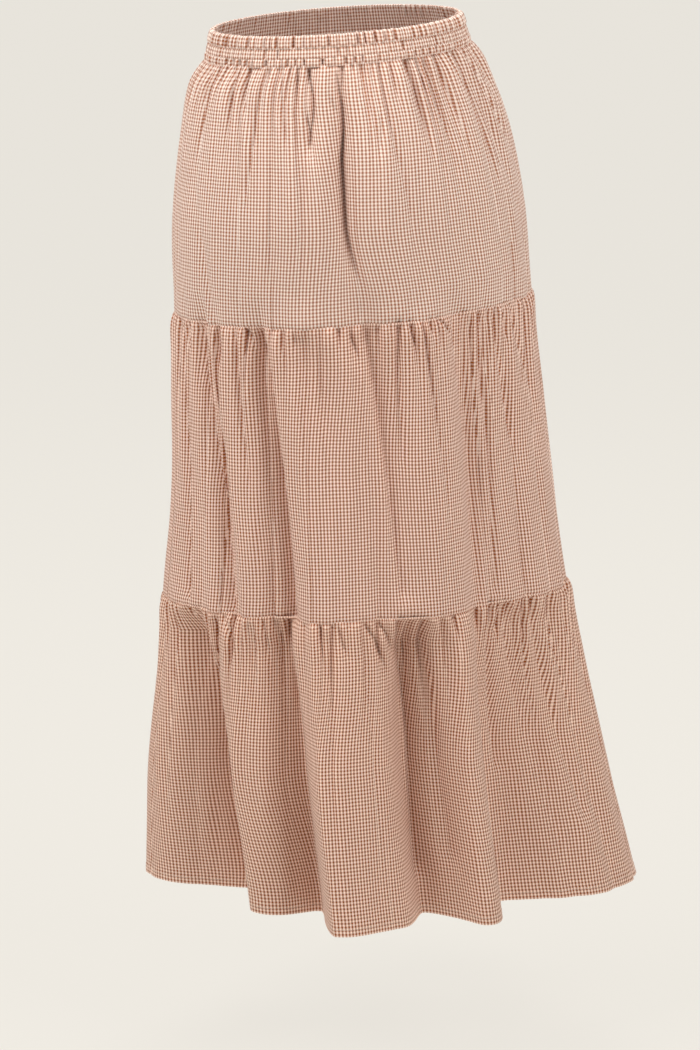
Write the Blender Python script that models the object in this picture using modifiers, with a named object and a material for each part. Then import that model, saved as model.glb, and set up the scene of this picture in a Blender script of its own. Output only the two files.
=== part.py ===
"""Tiered ruffle skirt: an elastic waistband over three gathered tiers, hollow and open at both ends.

Metres, +Z up. The origin is the middle of the waist opening, level with the band's top edge.
The wearer faces -Y, so the back of the skirt is at +Y and the wearer's left side is at +X.
"""
import math

import bmesh
import bpy
import numpy as np

# ---------------------------------------------------------------- driving sizes (metres)
WALL = 0.0013            # cloth wall
SEAM_GAP = 0.0003        # gap between two pieces at a seam
BAND_DROP = 0.031        # height of the waistband
SEAM_1_DROP = 0.294      # tier 1 meets tier 2
SEAM_2_DROP = 0.602      # tier 2 meets tier 3
HEM_DROP = 0.923         # lower edge

# The body of the skirt, a row for each level: an oval whose back half and front half differ in
# depth. The tilt is the rise per metre towards -X, the dip is the fall per metre towards +Y, and
# the side rise lifts the two sides, where the cloth flares out most.
SECTIONS = (
    # drop, half_width, back_depth, front_depth, centre_x, tilt, dip, side_rise
    (0.000, 0.1290, 0.1080, 0.1080, 0.0015, 0.066, 0.015, 0.0000),
    (0.031, 0.1385, 0.1190, 0.1150, 0.0000, 0.067, 0.015, 0.0000),
    (0.053, 0.1510, 0.1290, 0.1210, -0.0005, 0.066, 0.015, 0.0000),
    (0.094, 0.1655, 0.1430, 0.1290, -0.0045, 0.060, 0.015, 0.0000),
    (0.140, 0.1755, 0.1540, 0.1350, -0.0080, 0.056, 0.012, 0.0000),
    (0.204, 0.1845, 0.1610, 0.1410, -0.0115, 0.053, 0.005, 0.0000),
    (0.294, 0.1880, 0.1610, 0.1480, -0.0165, 0.053, 0.000, 0.0000),
    (0.384, 0.1955, 0.1610, 0.1530, -0.0210, 0.043, 0.000, 0.0000),
    (0.473, 0.2015, 0.1620, 0.1570, -0.0260, 0.032, 0.000, 0.0000),
    (0.602, 0.2160, 0.1650, 0.1630, -0.0305, 0.012, -0.010, 0.0000),
    (0.685, 0.2290, 0.1710, 0.1690, -0.0365, 0.000, -0.012, 0.0010),
    (0.772, 0.2445, 0.1780, 0.1750, -0.0425, -0.007, -0.015, 0.0040),
    (0.923, 0.2670, 0.1880, 0.1860, -0.0590, -0.017, -0.020, 0.0110),
)

# The large folds, a row for each. Angles run in degrees from +X through +Y. A fold has its
# centre line at three drops and its height off the body there in mm: below zero it is a trough.
# Its reach is in degrees, on the side of smaller and on the side of larger angles.
FOLDS = (
    # drop_a, drop_b, drop_c, angle_a, angle_b, angle_c, mm_a, mm_b, mm_c, reach_less, reach_more
    # back of tier 1
    (0.031, 0.160, 0.310, 81, 79, 78, -4, -15, -6, 3.5, 4.0),
    (0.031, 0.080, 0.130, 69, 70, 67, -3, -5, 0, 2.0, 2.5),
    (0.031, 0.070, 0.110, 42, 43, 45, -3, -4, 0, 2.0, 2.5),
    (0.031, 0.075, 0.120, 111, 110, 110, -3, -4, 0, 2.0, 2.5),
    (0.031, 0.075, 0.125, 126, 124, 124, -3, -5, 0, 2.5, 2.0),
    (0.040, 0.130, 0.240, 140, 147, 156, -3, -5, 0, 3.0, 2.0),
    (0.050, 0.110, 0.200, 152, 160, 168, -2, -4, 0, 3.0, 2.0),
    (0.150, 0.230, 0.310, 20, 25, 31, 0, -5, -3, 2.0, 2.5),
    (0.060, 0.160, 0.300, 92, 93, 95, 2, 6, 3, 5.0, 6.0),
    (0.080, 0.180, 0.300, 62, 62, 63, 2, 6, 4, 7.0, 6.0),
    # back of tiers 2 and 3
    (0.290, 0.600, 0.940, 18, 21, 24, 0, -8, -52, 12.0, 14.0),
    (0.290, 0.450, 0.600, 23, 33, 41, -7, -11, -10, 5.0, 2.0),
    (0.632, 0.740, 0.940, 24, 34, 42, -12, -38, -66, 11.0, 2.6),
    (0.632, 0.740, 0.900, 18, 26, 33, -5, -18, -6, 6.0, 6.0),
    (0.290, 0.450, 0.600, 49, 55, 60, -6, -13, -16, 5.5, 1.6),
    (0.632, 0.740, 0.940, 57, 61, 64, -18, -27, -44, 7.0, 1.8),
    (0.290, 0.600, 0.940, 60, 66, 69, 3, 14, 46, 2.4, 9.0),
    (0.310, 0.390, 0.490, 70, 71, 72, 0, -6, 0, 3.0, 3.0),
    (0.280, 0.350, 0.500, 84, 87, 92, -6, -6, -2, 3.0, 2.5),
    (0.300, 0.400, 0.600, 102, 101, 101, 5, 8, 5, 6.0, 5.0),
    (0.632, 0.750, 0.940, 92, 91, 91, -12, -40, -52, 4.5, 7.5),
    (0.632, 0.720, 0.940, 107, 105, 102, 6, 13, 20, 2.6, 5.0),
    (0.290, 0.450, 0.600, 115, 117, 116, -8, -14, -11, 4.5, 3.0),
    (0.290, 0.350, 0.430, 127, 126, 124, -3, -5, 0, 2.5, 2.5),
    (0.632, 0.720, 0.940, 117, 115, 113, -6, -24, -48, 3.0, 10.0),
    (0.294, 0.602, 0.940, 130, 128, 128, -4, -18, -28, 14.0, 16.0),
    (0.632, 0.740, 0.940, 126, 126, 124, -8, -16, -10, 12.0, 10.0),
    (0.632, 0.690, 0.830, 144, 142, 145, -8, -12, -4, 8.0, 2.0),
    # front of tier 1
    (0.031, 0.120, 0.230, 206, 208, 211, -3, -6, 0, 2.5, 3.0),
    (0.031, 0.090, 0.160, 228, 226, 225, -3, -5, 0, 2.5, 2.0),
    (0.031, 0.150, 0.310, 247, 249, 246, -3, -9, -5, 3.0, 3.5),
    (0.031, 0.070, 0.120, 268, 267, 269, -3, -4, 0, 2.0, 2.5),
    (0.031, 0.130, 0.270, 287, 290, 288, -4, -10, -3, 3.5, 3.0),
    (0.040, 0.100, 0.190, 318, 316, 312, -2, -5, 0, 2.5, 3.0),
    (0.050, 0.110, 0.200, 337, 332, 327, -2, -4, 0, 2.5, 2.5),
    # front of tiers 2 and 3
    (0.290, 0.602, 0.940, 205, 203, 201, -3, -12, -30, 5.0, 3.0),
    (0.290, 0.450, 0.700, 219, 220, 218, -3, -7, -4, 3.0, 3.5),
    (0.290, 0.602, 0.940, 236, 234, 231, 2, 8, 24, 5.0, 4.0),
    (0.290, 0.602, 0.940, 247, 244, 241, -5, -14, -42, 3.0, 5.0),
    (0.300, 0.380, 0.480, 257, 258, 258, -2, -5, 0, 3.0, 3.0),
    (0.290, 0.602, 0.940, 268, 266, 264, 2, 8, 20, 6.0, 5.0),
    (0.290, 0.602, 0.940, 279, 277, 276, -4, -13, -44, 4.0, 3.0),
    (0.290, 0.410, 0.560, 290, 291, 293, -4, -7, 0, 3.0, 3.0),
    (0.290, 0.602, 0.940, 300, 297, 293, 2, 9, 26, 4.0, 5.0),
    (0.290, 0.602, 0.940, 309, 307, 305, -3, -12, -40, 3.0, 4.0),
    (0.300, 0.400, 0.520, 327, 325, 324, -3, -5, 0, 3.0, 3.0),
    (0.480, 0.680, 0.940, 333, 330, 328, 0, -8, -26, 4.0, 6.0),
)

# The tiers, a row for each. The flat widths are the ring of cloth before it is gathered, at the
# top and at the bottom. The gathers are deepest just below the top seam and fade out over
# gather_fade.
TIERS = (
    # name, top_drop, bottom_drop, flat_top, flat_bottom, gathers, gather_fade, puff
    ("tier1", BAND_DROP, SEAM_1_DROP, 1.14, 1.14, 42, 0.045, 0.0020),
    ("tier2", SEAM_1_DROP, SEAM_2_DROP, 1.37, 1.39, 48, 0.040, 0.0020),
    ("tier3", SEAM_2_DROP, HEM_DROP, 1.62, 1.86, 52, 0.045, 0.0020),
)

SEAM_PINCH = 0.5         # gather height on the seam line, as a share of its height below it
PINCH_DROP = 0.008       # the gathers are fully open this far below the seam
PUFF_DROP = 0.016        # the cloth stands out most this far below a seam
SIDE_CALM = 5.0          # gathers die out over this many degrees beside a side seam
TALLEST_WAVE = 0.03      # no wave is taller than this

# A fold's section across and its ends: it falls off as exp(-FOLD_NARROW * away ** FOLD_SHOULDER),
# with away in reaches from its centre line, and fades out over FOLD_FADE past its ends.
FOLD_NARROW = 0.8
FOLD_SHOULDER = 1.8
FOLD_FADE = 0.030
FOLD_REACH_LEAST = 5.0    # degrees: a solid wall turns over no narrower fold

# soft waves between the gathers and the large folds, all round, and how they wander going down
SOFT_WAVES = 22
SOFT_WANDER = 0.7        # radians
WANDER_PER_METRE = 1.6   # turns
WANDER_HARMONIC = 3.0

# uneven spacing of the gathers and soft waves round the ring
GATHER_DRIFT = (
    # harmonic, radians
    (3, 0.90),
    (7, 0.70),
    (11, 0.60),
    (17, 0.45),
)
SOFT_DRIFT = (
    # harmonic, radians
    (2, 1.1),
    (5, 0.6),
    (7, 0.4),
)

# uneven height of the gathers and soft waves, and how far down each gather reaches
GATHER_HEIGHT = (
    # harmonic, share, phase
    (5, 0.22, 1.0),
    (9, 0.18, 2.4),
    (14, 0.12, 0.3),
)
SOFT_HEIGHT = (
    # harmonic, share, phase
    (4, 0.30, 0.5),
    (9, 0.25, 2.1),
)
GATHER_REACH = (
    # harmonic, share, phase
    (9, 0.35, 0.7),
    (16, 0.25, 2.0),
)
GATHER_FALL = 1.3        # how suddenly a gather ends once past its reach

# The mesh below a tier's top seam: fine rows first, then rows with half the columns that are
# closest near the seam. Further down, the columns are evenly spaced along the cloth.
FINE_ROWS = (0.000, 0.008, 0.022)
COARSE_ROWS = 7
ROW_SPREAD = 1.15
COLUMNS_PER_GATHER = 4
EVEN_DROP = 0.100
TURN = 2.0 * math.pi
RING_SAMPLES = 1440
HALVINGS = 30            # steps of each search for a wave's height

# waistband: ripples of the elastic, and its section from top to bottom
BAND_RIPPLES = 30
BAND_RIPPLE_HEIGHT = 0.0009
BAND_SECTION = (
    # share of the height, out from the body (metres)
    (0.00, 0.0006),
    (0.16, 0.0022),
    (0.36, 0.0000),
    (0.66, 0.0018),
    (1.00, 0.0004),
)

# colours as linear RGB, roughness
PIECES_LOOK = {
    "waistband": ((0.61, 0.40, 0.31), 0.86),
    "tier1": ((0.66, 0.45, 0.36), 0.88),
    "tier2": ((0.64, 0.43, 0.34), 0.88),
    "tier3": ((0.65, 0.44, 0.35), 0.88),
}


# ---------------------------------------------------------------- the skirt's surface
def smooth_between(value, places, sizes):
    """Smooth curve through sizes at rising places that never overshoots them."""
    steps = [places[k + 1] - places[k] for k in range(len(places) - 1)]
    slopes = [(sizes[k + 1] - sizes[k]) / steps[k] for k in range(len(steps))]
    tangents = [slopes[0]] + [0.0] * (len(steps) - 1) + [slopes[-1]]
    for k in range(1, len(steps)):
        if slopes[k - 1] * slopes[k] > 0.0:
            before = 2.0 * steps[k] + steps[k - 1]
            after = steps[k] + 2.0 * steps[k - 1]
            tangents[k] = (before + after) / (before / slopes[k - 1] + after / slopes[k])
    value = min(max(value, places[0]), places[-1])
    k = 0
    while k < len(steps) - 1 and value > places[k + 1]:
        k += 1
    t = (value - places[k]) / steps[k]
    rise = t * t * (3.0 - 2.0 * t)
    start_bend = t * (1.0 - t) ** 2 * steps[k] * tangents[k]
    end_bend = t * t * (t - 1.0) * steps[k] * tangents[k + 1]
    return sizes[k] * (1.0 - rise) + sizes[k + 1] * rise + start_bend + end_bend


def body_at(drop):
    """Half width, back depth, front depth, centre x, tilt, dip and side rise at one drop."""
    drops = [row[0] for row in SECTIONS]
    return [smooth_between(drop, drops, [row[k] for row in SECTIONS]) for k in range(1, 8)]


def fold_height(angle, drop):
    """Height of all the large folds off the body, at angles in radians."""
    height = np.zeros_like(angle)
    for row in FOLDS:
        drops, angles, sizes = row[0:3], row[3:6], row[6:9]
        past = max(drops[0] - drop, drop - drops[2], 0.0)
        if past >= FOLD_FADE:
            continue
        size = smooth_between(drop, drops, sizes) * 0.001 * (1.0 - past / FOLD_FADE)
        centre = smooth_between(drop, drops, angles)
        away = (np.degrees(angle) - centre + 180.0) % 360.0 - 180.0
        before = max(row[9], FOLD_REACH_LEAST)
        after = max(row[10], FOLD_REACH_LEAST)
        away = np.where(away < 0.0, -away / before, away / after)
        height += size * np.exp(-FOLD_NARROW * away ** FOLD_SHOULDER)
    return height


def drifting(angle, waves, drift):
    """Phase of waves round the ring, closer in some places than in others, zero at +X."""
    phase = waves * angle
    for harmonic, size in drift:
        phase = phase + size * np.sin(harmonic * angle)
    return phase


def uneven(angle, table):
    """Factor near one that varies round the ring."""
    factor = np.ones_like(angle)
    for harmonic, size, phase in table:
        factor += size * np.sin(harmonic * angle + phase)
    return factor


def side_calm(angle):
    """Zero on the side seams and one from SIDE_CALM degrees away from them."""
    away = np.degrees(np.arcsin(np.abs(np.sin(angle)))) / SIDE_CALM
    away = np.minimum(away, 1.0)
    return away * away * (3.0 - 2.0 * away)


def soft_wave(angle, drop):
    """Soft waves that wander a little as they go down."""
    turns = WANDER_PER_METRE * drop * TURN
    wander = SOFT_WANDER * np.sin(turns + WANDER_HARMONIC * angle)
    wave = np.sin(drifting(angle, SOFT_WAVES, SOFT_DRIFT) + wander)
    return wave * uneven(angle, SOFT_HEIGHT) * side_calm(angle)


def gather_wave(angle, gathers):
    """Gathers of height one on the mean, still at the side seams."""
    wave = np.sin(drifting(angle, gathers, GATHER_DRIFT))
    return wave * uneven(angle, GATHER_HEIGHT) * side_calm(angle)


def gather_fading(angle, below, fade):
    """Share of the gathers' height left below their seam; some reach down further."""
    return np.exp(-(below / (fade * uneven(angle, GATHER_REACH))) ** GATHER_FALL)


def ring(angle, drop, out):
    """Points of the ring at one drop, moved off the body by out along its level normal."""
    half_width, back, front, centre_x, tilt, dip, side_rise = body_at(drop)
    depth = np.where(np.sin(angle) > 0.0, back, front)
    normal_x = np.cos(angle) / half_width
    normal_y = np.sin(angle) / depth
    length = np.hypot(normal_x, normal_y)
    x = centre_x + half_width * np.cos(angle) + out * normal_x / length
    y = depth * np.sin(angle) + out * normal_y / length
    z = -drop - tilt * x - dip * y + side_rise * np.cos(angle) ** 2
    return np.stack([x, y, z], axis=-1)


def ring_length(points):
    return float(np.linalg.norm(np.diff(points, axis=0), axis=1).sum())


def height_for_length(drop, still, wave, flat_width):
    """Height that the wave needs for the ring to hold flat_width of cloth."""
    angle = np.linspace(0.0, TURN, RING_SAMPLES + 1)
    low, high = 0.0, TALLEST_WAVE
    for _ in range(HALVINGS):
        middle = 0.5 * (low + high)
        if ring_length(ring(angle, drop, still + middle * wave)) < flat_width:
            low = middle
        else:
            high = middle
    return 0.5 * (low + high)


def tier_heights(index):
    """Gather height of a tier, and a function for its soft wave height at any drop."""
    name, top, bottom, flat_top, flat_bottom, gathers, fade, puff = TIERS[index]
    around = np.linspace(0.0, TURN, RING_SAMPLES + 1)
    full = top + PINCH_DROP
    soft_at_top = 0.0
    if index > 0:
        above = TIERS[index - 1]
        soft_at_top = height_for_length(top, fold_height(around, top),
                                        soft_wave(around, top), above[4])
    still = fold_height(around, full) + soft_at_top * soft_wave(around, full)
    gather = height_for_length(full, still, gather_wave(around, gathers), flat_top)

    def soft_height(drop):
        below = max(drop - full, 0.0)
        faded = gather * gather_wave(around, gathers) * gather_fading(around, below, fade)
        still_here = fold_height(around, drop) + faded
        flat_width = flat_top + (flat_bottom - flat_top) * (drop - top) / (bottom - top)
        needed = height_for_length(drop, still_here, soft_wave(around, drop), flat_width)
        opened = min(max(drop - top, 0.0) / (0.5 * fade), 1.0)
        return soft_at_top + (needed - soft_at_top) * opened

    return gather, soft_height


def tier_ring(index, angle, drop, gather, soft):
    """Points of a tier's ring at one drop, given its gather height and soft wave height."""
    name, top, bottom, flat_top, flat_bottom, gathers, fade, puff = TIERS[index]
    below = max(drop - top, 0.0)
    opened = SEAM_PINCH + (1.0 - SEAM_PINCH) * min(below / PINCH_DROP, 1.0)
    past = max(below - PINCH_DROP, 0.0)
    fine = gather * opened * gather_wave(angle, gathers) * gather_fading(angle, past, fade)
    stand = puff * (below / PUFF_DROP) * math.exp(1.0 - below / PUFF_DROP)
    out = fold_height(angle, drop) + soft * soft_wave(angle, drop) + fine + stand
    return ring(angle, drop, out)


def band_ring(angle, share):
    """Points of the waistband's ring at a share of its height."""
    shares = [row[0] for row in BAND_SECTION]
    out = smooth_between(share, shares, [row[1] for row in BAND_SECTION])
    ripple = gather_wave(angle, BAND_RIPPLES)
    drop = SEAM_GAP * 0.5 + share * (BAND_DROP - SEAM_GAP)
    return ring(angle, drop, out + BAND_RIPPLE_HEIGHT * ripple)


# ---------------------------------------------------------------- meshes
def column_angles(waves, half):
    """Angles of the mesh columns over one half, on the crests, troughs and middles of waves."""
    count = waves * COLUMNS_PER_GATHER // 2
    start = 0.0 if half == "back" else math.pi
    fine = np.linspace(start, start + math.pi, 4001)
    phase = drifting(fine, waves, GATHER_DRIFT)
    wanted = np.linspace(phase[0], phase[-1], count + 1)
    angles = np.interp(wanted, phase, fine)
    return angles


def even_angles(index, drop, gather, soft, count, half):
    """Angles over one half that part a tier's ring into equal lengths of cloth."""
    start = 0.0 if half == "back" else math.pi
    fine = np.linspace(start, start + math.pi, RING_SAMPLES + 1)
    points = tier_ring(index, fine, drop, gather, soft)
    steps = np.linalg.norm(np.diff(points, axis=0), axis=1)
    run = np.concatenate([[0.0], np.cumsum(steps)])
    return np.interp(np.linspace(0.0, run[-1], count), run, fine)


def trim_to_seams(mesh, half, top_drop, bottom_drop):
    """Keeps a panel's wall inside the planes of its side seams and of its two level seams."""
    side = 1.0 if half == "back" else -1.0
    top_tilt, top_dip = body_at(top_drop)[4:6]
    bottom_tilt, bottom_dip = body_at(bottom_drop)[4:6]
    for vertex in mesh.vertices:
        x, y, z = vertex.co
        y = side * max(side * y, 0.5 * SEAM_GAP)
        highest = -top_drop - top_tilt * x - top_dip * y
        lowest = -bottom_drop - bottom_tilt * x - bottom_dip * y
        vertex.co = (x, y, min(max(z, lowest), highest))


def sheet_object(name, rows, look, half, top_drop, bottom_drop):
    """Cloth panel: quads between rows of points, and a fan row where the columns halve."""
    mesh_data = bmesh.new()
    lines = [[mesh_data.verts.new(point) for point in row] for row in rows]
    for upper, lower in zip(lines, lines[1:]):
        if len(upper) == len(lower):
            for k in range(len(upper) - 1):
                mesh_data.faces.new((upper[k], lower[k], lower[k + 1], upper[k + 1]))
            continue
        for k in range(len(lower) - 1):
            left, middle, right = upper[2 * k], upper[2 * k + 1], upper[2 * k + 2]
            mesh_data.faces.new((left, lower[k], middle))
            mesh_data.faces.new((middle, lower[k], lower[k + 1]))
            mesh_data.faces.new((middle, lower[k + 1], right))
    mesh = bpy.data.meshes.new(name)
    mesh_data.to_mesh(mesh)
    mesh_data.free()
    panel = bpy.data.objects.new(name, mesh)
    collection.objects.link(panel)
    mesh.shade_smooth()
    wall = panel.modifiers.new("wall", "SOLIDIFY")
    wall.thickness = WALL
    wall.offset = -1.0
    wall.use_even_offset = True
    bpy.context.view_layer.update()
    graph = bpy.context.evaluated_depsgraph_get()
    walled = bpy.data.meshes.new_from_object(panel.evaluated_get(graph))
    panel.modifiers.clear()
    panel.data = walled
    bpy.data.meshes.remove(mesh)
    walled.name = name
    trim_to_seams(walled, half, top_drop, bottom_drop)
    colour, roughness = look
    material = bpy.data.materials.new(name + "_cloth")
    material.use_nodes = True
    shader = material.node_tree.nodes["Principled BSDF"]
    shader.inputs["Base Color"].default_value = (*colour, 1.0)
    shader.inputs["Roughness"].default_value = roughness
    shader.inputs["Metallic"].default_value = 0.0
    walled.materials.append(material)


def build_band(half):
    angles = column_angles(BAND_RIPPLES, half)
    rows = [band_ring(angles, row[0]) for row in BAND_SECTION]
    sheet_object("waistband_" + half, rows, PIECES_LOOK["waistband"], half,
                 0.5 * SEAM_GAP, BAND_DROP - 0.5 * SEAM_GAP)


def build_tier(index, half, gather, soft_by_drop):
    name, top, bottom, flat_top, flat_bottom, gathers, fade, puff = TIERS[index]
    angles = column_angles(gathers, half)
    coarse = angles[::2]
    rows = []
    for drop, soft in soft_by_drop:
        past = drop - top - FINE_ROWS[-1]
        if past <= SEAM_GAP:
            rows.append(tier_ring(index, angles, drop, gather, soft))
            continue
        even = even_angles(index, drop, gather, soft, len(coarse), half)
        share = min(past / EVEN_DROP, 1.0)
        columns = coarse + share * (even - coarse)
        columns[0], columns[-1] = coarse[0], coarse[-1]
        rows.append(tier_ring(index, columns, drop, gather, soft))
    sheet_object(name + "_" + half, rows, PIECES_LOOK[name], half,
                 soft_by_drop[0][0], soft_by_drop[-1][0])


for old in list(bpy.data.objects):
    bpy.data.objects.remove(old, do_unlink=True)

collection = bpy.data.collections.new("tiered_ruffle_skirt")
bpy.context.scene.collection.children.link(collection)

for side in ("back", "front"):
    build_band(side)

for tier in range(len(TIERS)):
    upper_drop, lower_drop = TIERS[tier][1], TIERS[tier][2]
    drops = [upper_drop + step for step in FINE_ROWS]
    drops[0] += 0.5 * SEAM_GAP
    coarse_top = drops[-1]
    coarse_bottom = lower_drop - 0.5 * SEAM_GAP
    for step in range(1, COARSE_ROWS + 1):
        share = (step / COARSE_ROWS) ** ROW_SPREAD
        drops.append(coarse_top + (coarse_bottom - coarse_top) * share)
    gather_size, soft_height_at = tier_heights(tier)
    heights = [(drop, soft_height_at(drop)) for drop in drops]
    for side in ("back", "front"):
        build_tier(tier, side, gather_size, heights)
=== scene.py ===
"""Visual model of a tiered ruffle skirt: elastic waistband over three gathered tiers in a small
woven check, hollow and open at both ends, hanging as it is worn.

Metres, +Z up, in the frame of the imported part. The wearer faces -Y, so the back of the skirt is
at +Y and the wearer's left side is at +X. Drops are measured down from the band's top edge.
"""

import math

import bpy
import numpy as np
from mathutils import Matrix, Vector


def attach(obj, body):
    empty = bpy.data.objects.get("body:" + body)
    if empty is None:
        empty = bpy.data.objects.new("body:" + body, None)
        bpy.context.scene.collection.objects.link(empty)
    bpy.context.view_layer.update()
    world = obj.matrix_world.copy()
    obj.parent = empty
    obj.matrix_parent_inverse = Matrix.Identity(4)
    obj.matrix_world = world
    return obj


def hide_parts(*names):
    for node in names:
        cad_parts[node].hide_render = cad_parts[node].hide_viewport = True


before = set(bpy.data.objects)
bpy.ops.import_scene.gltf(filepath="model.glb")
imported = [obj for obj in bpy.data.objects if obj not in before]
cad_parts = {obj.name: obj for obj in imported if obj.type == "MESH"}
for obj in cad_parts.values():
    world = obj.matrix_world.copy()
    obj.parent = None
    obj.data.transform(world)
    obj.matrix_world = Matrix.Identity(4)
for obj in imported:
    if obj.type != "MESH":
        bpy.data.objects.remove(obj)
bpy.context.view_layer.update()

# ---------------------------------------------------------------- camera
IMAGE_SIZE = (700, 1050)     # pixels
FOCAL_PIXELS = 4254.0
SENSOR = 36.0                # mm along the image's long side
CAMERA_TURN = 168.0          # degrees round the skirt, behind it
CAMERA_AWAY = 4.40
CAMERA_HEIGHT = 0.4413
CAMERA_FALL = 12.5           # degrees that the view line falls
AXIS_LEFT_PIXELS = 12.0      # the skirt's axis lies this far left of the image's middle
CAMERA_SEES = 200.0          # as far as this, past the backdrop

# ---------------------------------------------------------------- driving sizes
BAND_DROP = 0.031
SEAM_1_DROP = 0.294
SEAM_2_DROP = 0.602
HEM_DROP = 0.923
CLOTH_WALL = 0.0006          # cloth thickness that shows at the edges
FLOOR_LEVEL = -1.09
MM = 0.001

# The body of the skirt, a row for each level: an oval whose back half and front half differ in
# depth. The tilt is the rise per metre towards -X, the dip is the fall per metre towards +Y, and
# the side rise lifts the two sides, where the cloth flares out most. The hem hangs up to 10 mm
# lower at the wearer's right than in the solids.
SECTIONS = (
    # drop, half_width, back_depth, front_depth, centre_x, tilt, dip, side_rise
    (0.000, 0.1290, 0.1080, 0.1080, 0.0015, 0.066, 0.015, 0.0000),
    (0.031, 0.1385, 0.1190, 0.1150, 0.0000, 0.067, 0.015, 0.0000),
    (0.053, 0.1510, 0.1290, 0.1210, -0.0005, 0.066, 0.015, 0.0000),
    (0.094, 0.1655, 0.1430, 0.1290, -0.0045, 0.060, 0.015, 0.0000),
    (0.140, 0.1755, 0.1540, 0.1350, -0.0080, 0.056, 0.012, 0.0000),
    (0.204, 0.1845, 0.1610, 0.1410, -0.0115, 0.053, 0.005, 0.0000),
    (0.294, 0.1880, 0.1610, 0.1480, -0.0165, 0.053, 0.000, 0.0000),
    (0.384, 0.1955, 0.1610, 0.1530, -0.0210, 0.043, 0.000, 0.0000),
    (0.473, 0.2015, 0.1620, 0.1570, -0.0260, 0.032, 0.000, 0.0000),
    (0.602, 0.2160, 0.1650, 0.1630, -0.0305, 0.012, -0.010, 0.0000),
    (0.685, 0.2290, 0.1710, 0.1690, -0.0365, 0.000, -0.012, 0.0010),
    (0.772, 0.2445, 0.1780, 0.1750, -0.0425, -0.007, -0.015, 0.0040),
    (0.923, 0.2670, 0.1880, 0.1860, -0.0590, -0.040, -0.006, 0.0080),
)

# The large folds, a row for each. Angles run in degrees from +X through +Y. A fold has its
# centre line at three drops and its height off the body there: below zero it is a trough.
# Its reach is in degrees, on the side of smaller and on the side of larger angles. Drops are in
# mm here. The solids have softer folds at the back of tier 3, and not the one at the hem's right.
FOLDS = (
    # drop_a, drop_b, drop_c, angle_a, angle_b, angle_c, mm_a, mm_b, mm_c, reach_less, reach_more
    # back of tier 1
    (31, 160, 310, 81, 79, 80, -3, -9, -6, 5, 3),
    (31, 80, 130, 69, 70, 67, -3, -5, 0, 2, 2.5),
    (31, 70, 110, 42, 43, 45, -3, -4, 0, 2, 2.5),
    (31, 75, 120, 111, 110, 110, -3, -4, 0, 2, 2.5),
    (31, 75, 125, 126, 124, 124, -3, -5, 0, 2.5, 2),
    (40, 130, 240, 140, 147, 156, -3, -5, 0, 3, 2),
    (50, 110, 200, 152, 160, 168, -2, -4, 0, 3, 2),
    (150, 230, 310, 20, 25, 31, 0, -5, -3, 2, 2.5),
    (60, 160, 300, 92, 93, 95, 2, 6, 3, 5, 6),
    (80, 180, 300, 62, 62, 63, 2, 6, 4, 7, 6),
    # back of tiers 2 and 3
    (290, 600, 940, 18, 21, 24, 0, -8, -52, 12, 14),
    (290, 450, 600, 23, 33, 41, -7, -11, -10, 5, 2),
    (632, 730, 940, 24, 34, 42, -22, -42, -68, 11, 2.2),
    (632, 730, 900, 18, 26, 33, -12, -20, -6, 6, 6),
    (290, 450, 600, 49, 55, 60, -6, -13, -16, 5.5, 1.6),
    (632, 740, 940, 57, 61, 64, -18, -27, -44, 7, 1.8),
    (290, 600, 940, 60, 66, 69, 3, 14, 46, 2.4, 9),
    (310, 390, 490, 70, 71, 72, 0, -6, 0, 3, 3),
    (280, 350, 500, 84, 87, 92, -6, -6, -2, 3, 2.5),
    (300, 400, 600, 102, 101, 101, 5, 8, 5, 6, 5),
    (632, 720, 940, 91, 90, 91, -32, -48, -52, 3.8, 7.5),
    (632, 720, 940, 107, 105, 102, 6, 13, 20, 2.6, 5),
    (290, 450, 600, 115, 117, 116, -8, -14, -11, 4.5, 3),
    (290, 350, 430, 127, 126, 124, -3, -5, 0, 2.5, 2.5),
    (632, 700, 940, 117, 115, 113, -10, -24, -48, 3, 10),
    (294, 602, 940, 130, 128, 128, -4, -18, -28, 14, 16),
    (632, 740, 940, 126, 126, 124, -8, -16, -10, 12, 10),
    (632, 690, 830, 144, 142, 145, -8, -12, -4, 8, 4.5),
    # front of tier 1
    (31, 120, 230, 206, 208, 211, -3, -6, 0, 2.5, 3),
    (31, 90, 160, 228, 226, 225, -3, -5, 0, 2.5, 2),
    (31, 150, 310, 247, 249, 246, -3, -9, -5, 3, 3.5),
    (31, 70, 120, 268, 267, 269, -3, -4, 0, 2, 2.5),
    (31, 130, 270, 287, 290, 288, -4, -10, -3, 3.5, 3),
    (40, 100, 190, 318, 316, 312, -2, -5, 0, 2.5, 3),
    (50, 110, 200, 337, 332, 327, -2, -4, 0, 2.5, 2.5),
    # front of tiers 2 and 3, first the one at the hem's right
    (620, 800, 940, 190, 188, 186, 0, -5, -12, 9, 7),
    (290, 602, 940, 205, 203, 201, -3, -12, -30, 5, 3),
    (290, 450, 700, 219, 220, 218, -3, -7, -4, 3, 3.5),
    (290, 602, 940, 236, 234, 231, 2, 8, 24, 5, 4),
    (290, 602, 940, 247, 244, 241, -5, -14, -42, 3, 5),
    (300, 380, 480, 257, 258, 258, -2, -5, 0, 3, 3),
    (290, 602, 940, 268, 266, 264, 2, 8, 20, 6, 5),
    (290, 602, 940, 279, 277, 276, -4, -13, -44, 4, 3),
    (290, 410, 560, 290, 291, 293, -4, -7, 0, 3, 3),
    (290, 602, 940, 300, 297, 293, 2, 9, 26, 4, 5),
    (290, 602, 940, 309, 307, 305, -3, -12, -40, 3, 4),
    (300, 400, 520, 327, 325, 324, -3, -5, 0, 3, 3),
    (480, 680, 940, 333, 330, 328, 0, -8, -26, 4, 6),
)
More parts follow.
